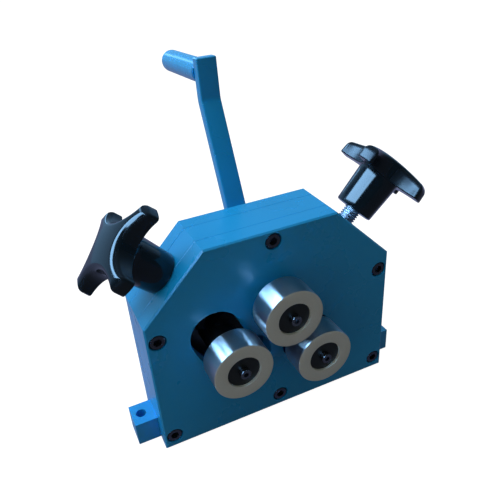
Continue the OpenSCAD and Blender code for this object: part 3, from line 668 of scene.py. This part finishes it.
def makeScrewTree():
    # socket cap screws: one on each point, head towards -Y, each turned by chance about its own axis
    inputs = [("Head diameter", "Float"), ("Head height", "Float"), ("Socket flats", "Float"),
        ("Socket depth", "Float"), ("Rounded edge", "Float"), ("Shank diameter", "Float"), ("Grip", "Float"),
        ("Seed", "Int"), ("Finish", "Material")]
    tree, given = newTree("socketCapScrews", inputs)
    height, edge = (given, "Head height"), (given, "Rounded edge")
    radius = addNode(tree, "ShaderNodeMath", {0: (given, "Head diameter"), 1: 0.5}, operation="MULTIPLY")
    bar = addNode(tree, "GeometryNodeMeshCylinder", {"Vertices": screwMesh["headSides"],
        "Side Segments": screwMesh["headRows"], "Radius": radius, "Depth": height})
    seated = addNode(tree, "ShaderNodeMath", {0: height, 1: 0.5}, operation="MULTIPLY")
    seated = addNode(tree, "ShaderNodeCombineXYZ", {2: seated})
    bar = addNode(tree, "GeometryNodeTransform", {"Geometry": bar, "Translation": seated})
    parts = addNode(tree, "ShaderNodeSeparateXYZ", {0: addNode(tree, "GeometryNodeInputPosition")})
    x, y, z = (parts, 0), (parts, 1), (parts, 2)
    # the bar's lower half becomes the head's straight side, and its upper half the rounded edge
    level = addNode(tree, "ShaderNodeMath", {0: z, 1: height}, operation="DIVIDE")
    flank = addNode(tree, "ShaderNodeMapRange", {"Value": level, "From Max": 0.5})
    bend = addNode(tree, "ShaderNodeMapRange", {"Value": level, "From Min": 0.5, "To Max": math.pi / 2})
    cosine = addNode(tree, "ShaderNodeMath", {0: bend}, operation="COSINE")
    sine = addNode(tree, "ShaderNodeMath", {0: bend}, operation="SINE")
    pulled = addNode(tree, "ShaderNodeMath", {0: 1.0, 1: cosine}, operation="SUBTRACT")
    pulled = addNode(tree, "ShaderNodeMath", {0: edge, 1: pulled}, operation="MULTIPLY")
    share = addNode(tree, "ShaderNodeMath", {0: radius, 1: pulled}, operation="SUBTRACT")
    share = addNode(tree, "ShaderNodeMath", {0: share, 1: radius}, operation="DIVIDE")
    straight = addNode(tree, "ShaderNodeMath", {0: height, 1: edge}, operation="SUBTRACT")
    straight = addNode(tree, "ShaderNodeMath", {0: flank, 1: straight}, operation="MULTIPLY")
    rounded = addNode(tree, "ShaderNodeMath", {0: edge, 1: sine}, operation="MULTIPLY")
    rise = addNode(tree, "ShaderNodeMath", {0: straight, 1: rounded}, operation="ADD")
    newX = addNode(tree, "ShaderNodeMath", {0: x, 1: share}, operation="MULTIPLY")
    newY = addNode(tree, "ShaderNodeMath", {0: y, 1: share}, operation="MULTIPLY")
    moved = addNode(tree, "ShaderNodeCombineXYZ", {0: newX, 1: newY, 2: rise})
    head = addNode(tree, "GeometryNodeSetPosition", {"Geometry": bar, "Position": moved})
    # hexagon socket, cut twice as long as it is deep so that it clears the head's face
    corner = addNode(tree, "ShaderNodeMath",
        {0: (given, "Socket flats"), 1: 2 * math.cos(math.pi / 6)}, operation="DIVIDE")
    keyLength = addNode(tree, "ShaderNodeMath", {0: (given, "Socket depth"), 1: 2.0}, operation="MULTIPLY")
    key = addNode(tree, "GeometryNodeMeshCylinder", {"Vertices": 6, "Radius": corner, "Depth": keyLength})
    lifted = addNode(tree, "ShaderNodeCombineXYZ", {2: height})
    key = addNode(tree, "GeometryNodeTransform", {"Geometry": key, "Translation": lifted})
    head = addNode(tree, "GeometryNodeMeshBoolean", {"Mesh 1": head, "Mesh 2": key},
        operation="DIFFERENCE", solver="EXACT")
    thin = addNode(tree, "ShaderNodeMath", {0: (given, "Shank diameter"), 1: 0.5}, operation="MULTIPLY")
    shank = addNode(tree, "GeometryNodeMeshCylinder",
        {"Vertices": screwMesh["shankSides"], "Radius": thin, "Depth": (given, "Grip")})
    lowered = addNode(tree, "ShaderNodeMath", {0: (given, "Grip"), 1: -0.5}, operation="MULTIPLY")
    lowered = addNode(tree, "ShaderNodeCombineXYZ", {2: lowered})
    shank = addNode(tree, "GeometryNodeTransform", {"Geometry": shank, "Translation": lowered})
    screw = addNode(tree, "GeometryNodeJoinGeometry")
    tree.links.new(shank.outputs[0], screw.inputs[0])
    tree.links.new(head.outputs[0], screw.inputs[0])
    # one screw on each seat, each with its own turn of up to one sixth of a circle
    seats = addNode(tree, "GeometryNodeMeshToPoints", {"Mesh": (given, "Geometry")})
    facingFront = addNode(tree, "FunctionNodeEulerToRotation", {0: (math.pi / 2, 0, 0)})
    placed = addNode(tree, "GeometryNodeInstanceOnPoints",
        {"Points": seats, "Instance": screw, "Rotation": facingFront})
    chance = addNode(tree, "FunctionNodeRandomValue", {"Seed": (given, "Seed")}, data_type="FLOAT")
    spin = addNode(tree, "ShaderNodeMath", {0: (chance, 1), 1: math.pi / 3}, operation="MULTIPLY")
    spin = addNode(tree, "ShaderNodeCombineXYZ", {2: spin})
    spin = addNode(tree, "FunctionNodeEulerToRotation", {0: spin})
    turned = addNode(tree, "GeometryNodeRotateInstances",
        {"Instances": placed, "Rotation": spin, "Local Space": True})
    whole = addNode(tree, "GeometryNodeRealizeInstances", {"Geometry": turned})
    painted = addNode(tree, "GeometryNodeSetMaterial", {"Geometry": whole, "Material": (given, "Finish")})
    addNode(tree, "NodeGroupOutput", {0: painted})
    return tree


screwTree = makeScrewTree()


def makeScrews(name, kind, seats, seed, body, node):
    # seats are points in mm on the face that the heads bear on
    s = screwSizes[kind]
    start = bpy.data.meshes.new(name + "Seats")
    start.from_pydata([Vector(p) * mm for p in seats], [], [])
    values = {"Head diameter": s["head"] * mm, "Head height": s["height"] * mm,
        "Socket flats": s["flats"] * mm, "Socket depth": s["socket"] * mm, "Rounded edge": s["edge"] * mm,
        "Shank diameter": s["shank"] * mm, "Grip": s["grip"] * mm, "Seed": seed, "Finish": s["finish"]}
    grown = growMesh(name, screwTree, start, values)
    grown.polygons.foreach_set("use_smooth", [True] * len(grown.polygons))
    grown.set_sharp_from_angle(angle=math.radians(screwMesh["smoothBelow"]))
    piece = bpy.data.objects.new(name, grown)
    scene.collection.objects.link(piece)
    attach(piece, body)
    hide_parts(node)


seatFace = -16.2  # Y of the counterbores' floors
seatPlaces = [(-80.3, 9.5), (0, 9.5), (80.3, 9.5), (-80.3, 90), (80.3, 90), (0, 136.5)]
plateSeats = [(x, seatFace, z) for x, z in seatPlaces]
seeds = {"plate": 4, "drive": 7, "left": 8, "right": 9}
makeScrews("plateScrews", "plate", plateSeats, seeds["plate"], "housing", "plate_screws")
for prefix, body in rollerBodies.items():
    low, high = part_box(prefix + "_disc")
    seat = ((low.x + high.x) / 2 / mm, discSize["front"], (low.z + high.z) / 2 / mm)
    makeScrews(prefix + "DiscScrew", "disc", [seat], seeds[prefix], body, prefix + "_disc_screw")
print("screws made")


# levels are heights near a face where the turned-off corners get a ring; cornerAt and cornerSlope shape them
nutSize = {
    "flats": 17, "height": 8, "bore": 5.0, "boreSink": 0.4, "face": 35.5, "axisZ": 94, "sides": 120,
    "levels": (0, 0.35, 0.7, 1.1), "cornerAt": 0.985, "cornerSlope": 1.5, "smoothBelow": 28,
}
washerSize = {"bore": 5.1, "radius": 10, "thick": 2, "rounds": (0.1, 0.3, 0.5, 0.1), "sides": 96}


def makeNut():
    # hexagon with its corners turned off on both faces, and a countersunk bore
    s = nutSize
    half, count = s["flats"] / 2, s["sides"]
    rings = []
    for t in s["levels"] + tuple(s["height"] - level for level in reversed(s["levels"])):
        corner = half * s["cornerAt"] + min(t, s["height"] - t) * s["cornerSlope"]
        ring = []
        for i in range(count):
            a = 2 * math.pi * i / count
            r = min(half / math.cos(a % (math.pi / 3) - math.pi / 6), corner)
            ring.append((r * math.cos(a), s["face"] + t, s["axisZ"] + r * math.sin(a)))
        rings.append(ring)
    wide, sink = s["bore"] + s["boreSink"], s["boreSink"]
    bore = [(wide, s["height"]), (s["bore"], s["height"] - sink), (s["bore"], sink), (wide, 0)]
    rings += turnedRings(bore, (0, s["face"], s["axisZ"]), count)
    points, faces = skinRings(rings, wrap=True)
    piece = linkPiece("crankNut", points, faces, s["smoothBelow"])
    finishPiece(piece, zincSteel, "crank", "crank_nut")


def makeWasher():
    s = washerSize
    profile = ringProfile(s["bore"], s["radius"], s["thick"], s["rounds"])
    piece = turnedPiece("crankWasher", profile, "crank_washer", nutSize["face"] - s["thick"], s["sides"])
    finishPiece(piece, zincSteel, "crank", "crank_washer")


makeNut()
makeWasher()
print("nut and washer made")


# CAD nodes whose shape is right keep it and get their finish here; the rest of them is bare machined steel
nodeFinish = {}
for names, finish in (
    (("front_plate", "middle_frame", "rear_plate"), enamel),
    # the arms and shoes' near black stands in for the shade inside the slot: painted shade
    (("left_swing_arm", "right_swing_arm", "left_shoe", "right_shoe"), blackSteelDarkenedAsSlotShade),
    (("drive_gear_clip", "left_gear_clip", "right_gear_clip"), blackOxide),
    (("front_sleeve", "rear_bush", "left_bush", "right_bush"), sinteredBronze),
    (("crank_spacer", "dowel_pins"), zincSteel),
):
    for name in names:
        nodeFinish[name] = finish
for name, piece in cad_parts.items():
    if not piece.hide_render:  # those that a piece replaces are hidden by now
        piece.data.materials.clear()
        piece.data.materials.append(nodeFinish.get(name, machinedSteel))
print("CAD nodes finished")


# right, up and back are the camera's own axes
cameraSize = {
    "lens": 39.80, "sensor": 36, "place": (-0.127389, -0.283996, 0.303747),
    "right": (0.90325, -0.42467, -0.06159), "up": (0.26505, 0.43928, 0.85836),
    "back": (-0.33746, -0.79164, 0.50934),
}
cameraData = bpy.data.cameras.new("camera")
cameraData.lens = cameraSize["lens"]
cameraData.sensor_width = cameraSize["sensor"]
camera = bpy.data.objects.new("camera", cameraData)
scene.collection.objects.link(camera)
axes = Matrix([cameraSize[key] for key in ("right", "up", "back")]).transposed()
camera.matrix_world = Matrix.Translation(cameraSize["place"]) @ axes.to_4x4()
scene.camera = camera

# white paper floor. The studio's dark half stands in front, so glossy rays see the paper dim there
frontGlow = 0.08  # what glossy rays see in front, in the floor and in the world
floorLook = {
    "half": 4, "paper": "#787878", "paperInGloss": "#303030", "glow": 0.97, "glossGlow": "#B4C2FF",
    "behindGlow": 0.5, "dimTo": -0.06, "litFrom": 0.06,
}
floorMaterial, tree = newMaterial("white_paper_floor")
path = addNode(tree, "ShaderNodeLightPath")
place = addNode(tree, "ShaderNodeTexCoord")
place = addNode(tree, "ShaderNodeSeparateXYZ", {"Vector": (place, "Object")})
inGloss = addNode(tree, "ShaderNodeMapRange", {"Value": (place, "Y"), "From Min": floorLook["dimTo"],
    "From Max": floorLook["litFrom"], "To Min": frontGlow, "To Max": floorLook["behindGlow"]},
    interpolation_type="SMOOTHSTEP")
plain = addNode(tree, "ShaderNodeMath", {0: (path, "Is Camera Ray"), 1: (path, "Is Transmission Ray")},
    operation="MAXIMUM")
plain = addNode(tree, "ShaderNodeMath", {0: plain, 1: floorLook["glow"]}, operation="MULTIPLY")
inGloss = addNode(tree, "ShaderNodeMath", {0: (path, "Is Glossy Ray"), 1: inGloss}, operation="MULTIPLY")
glowAmount = addNode(tree, "ShaderNodeMath", {0: plain, 1: inGloss}, operation="ADD")
glowColor = addNode(tree, "ShaderNodeMix", {0: (path, "Is Glossy Ray"), mixFirst: (1, 1, 1, 1),
    mixSecond: linearColor(floorLook["glossGlow"])}, data_type="RGBA")
glow = addNode(tree, "ShaderNodeEmission", {"Color": (glowColor, mixColor), "Strength": glowAmount})
paperColor = addNode(tree, "ShaderNodeMix", {0: (path, "Is Glossy Ray"),
    mixFirst: linearColor(floorLook["paper"]), mixSecond: linearColor(floorLook["paperInGloss"])},
    data_type="RGBA")
paper = addNode(tree, "ShaderNodeBsdfDiffuse", {"Color": (paperColor, mixColor)})
both = addNode(tree, "ShaderNodeAddShader", {0: paper, 1: glow})
addNode(tree, "ShaderNodeOutputMaterial", {"Surface": both})
half = floorLook["half"]
corners = [(-half, -half, 0), (half, -half, 0), (half, half, 0), (-half, half, 0)]
floorData = bpy.data.meshes.new("floor")
floorData.from_pydata(corners, [], [(0, 1, 2, 3)])
floor = bpy.data.objects.new("floor", floorData)
floorData.materials.append(floorMaterial)
scene.collection.objects.link(floor)
floor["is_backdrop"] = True

# world: white for the camera and a soft ambient light. Glossy rays see it pale behind and dim in front, with
# a large window high on the left, a softbox overhead and a smaller one behind
worldLook = {
    "tint": "#94CAFA", "horizon": 0.92, "zenith": 0.3, "dimTo": -0.3, "litFrom": 0.6, "fadeFrom": 0.1,
    "fadeTo": 0.55,
}
ambientLook = {
    "toward": (-0.28, 0.5, 0.82), "darkAt": -0.1, "brightAt": 0.9, "lowLight": 0.07, "highLight": 1.05,
    "lowTint": "#FFFFD6", "highTint": "#F4FDF2",
}
# each light's power, and its two edges each way, as where they begin and where they are full: climb is the
# angle above the left horizon in radians, and depth goes from -1 in front to 1 behind
studioLights = {
    "window": {"power": 18.5, "climb": ((0.52, 0.56), (0.88, 0.84)), "depth": ((0.5, 0.46), (-0.6, -0.52))},
    "ceiling": {"power": 20.0, "climb": ((0.84, 0.88), (1.3, 1.2)), "depth": ((0.56, 0.48), (-0.06, 0.02))},
    "rear": {"power": 4.5, "climb": ((1.05, 1.12), (1.46, 1.39)), "depth": ((0.62, 0.68), (1.02, 0.99))},
}
world = bpy.data.worlds.new("studio")
scene.world = world
world.use_nodes = True
tree = world.node_tree
tree.nodes.clear()
path = addNode(tree, "ShaderNodeLightPath")
toward = addNode(tree, "ShaderNodeTexCoord")
toward = addNode(tree, "ShaderNodeSeparateXYZ", {"Vector": (toward, "Generated")})
back = addNode(tree, "ShaderNodeMapRange", {"Value": (toward, "Y"), "From Min": worldLook["dimTo"],
    "From Max": worldLook["litFrom"], "To Min": frontGlow, "To Max": worldLook["horizon"]},
    interpolation_type="SMOOTHSTEP")
fade = addNode(tree, "ShaderNodeMapRange", {"Value": (toward, "Z"), "From Min": worldLook["fadeFrom"],
    "From Max": worldLook["fadeTo"], "To Min": 1.0, "To Max": worldLook["zenith"]},
    interpolation_type="SMOOTHSTEP")
bright = addNode(tree, "ShaderNodeMath", {0: back, 1: fade}, operation="MULTIPLY")
climb = addNode(tree, "ShaderNodeMath", {0: (toward, "X"), 1: -1.0}, operation="MULTIPLY")
climb = addNode(tree, "ShaderNodeMath", {0: (toward, "Z"), 1: climb}, operation="ARCTAN2")
for light in studioLights.values():
    edges = [(climb, edge) for edge in light["climb"]] + [((toward, "Y"), edge) for edge in light["depth"]]
    patch = 1.0
    for source, (start, full) in edges:
        edge = addNode(tree, "ShaderNodeMapRange", {"Value": source, "From Min": start, "From Max": full},
            interpolation_type="SMOOTHSTEP")
        patch = addNode(tree, "ShaderNodeMath", {0: patch, 1: edge}, operation="MULTIPLY")
    bright = addNode(tree, "ShaderNodeMath", {0: patch, 1: light["power"], 2: bright},
        operation="MULTIPLY_ADD")
studio = addNode(tree, "ShaderNodeBackground", {"Color": linearColor(worldLook["tint"]), "Strength": bright})
soft = addNode(tree, "ShaderNodeTexCoord")
soft = addNode(tree, "ShaderNodeVectorMath", {0: (soft, "Generated"), 1: ambientLook["toward"]},
    operation="DOT_PRODUCT")
soft = addNode(tree, "ShaderNodeMapRange", {"Value": (soft, "Value"), "From Min": ambientLook["darkAt"],
    "From Max": ambientLook["brightAt"], "To Min": ambientLook["lowLight"],
    "To Max": ambientLook["highLight"]}, interpolation_type="SMOOTHSTEP")
softColor = addNode(tree, "ShaderNodeMix", {0: soft, mixFirst: linearColor(ambientLook["lowTint"]),
    mixSecond: linearColor(ambientLook["highTint"])}, data_type="RGBA")
ambient = addNode(tree, "ShaderNodeBackground", {"Color": (softColor, mixColor), "Strength": soft})
white = addNode(tree, "ShaderNodeBackground", {"Color": (1, 1, 1, 1), "Strength": 1.0})
plain = addNode(tree, "ShaderNodeMath", {0: (path, "Is Camera Ray"), 1: (path, "Is Transmission Ray")},
    operation="MAXIMUM")
lit = addNode(tree, "ShaderNodeMixShader", {0: (path, "Is Glossy Ray"), 1: ambient, 2: studio})
mixed = addNode(tree, "ShaderNodeMixShader", {0: plain, 1: lit, 2: white})
addNode(tree, "ShaderNodeOutputWorld", {"Surface": mixed})

lampAim = (0, 0, 0.1)
lampSizes = {
    "key": {"place": (-0.5, 0.25, 1.0), "size": 0.6, "power": 6.5, "color": "#F4F8FF"},
    "fill": {"place": (-0.9, -0.6, 0.25), "size": 0.5, "power": 0.68, "color": "#FFFFDC"},
}
for name, s in lampSizes.items():
    lampData = bpy.data.lights.new(name, "AREA")
    lampData.shape = "SQUARE"
    lampData.size = s["size"]
    lampData.energy = s["power"]
    lampData.color = linearColor(s["color"])[:3]
    lamp = bpy.data.objects.new(name, lampData)
    scene.collection.objects.link(lamp)
    lamp.location = s["place"]
    lamp.visible_glossy = False  # the lights in the world stand for them in reflections
    lamp.rotation_euler = (Vector(lampAim) - Vector(s["place"])).to_track_quat("-Z", "Y").to_euler()
scene.view_settings.view_transform = "Standard"
print("camera, floor and lamps set")

low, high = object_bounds()
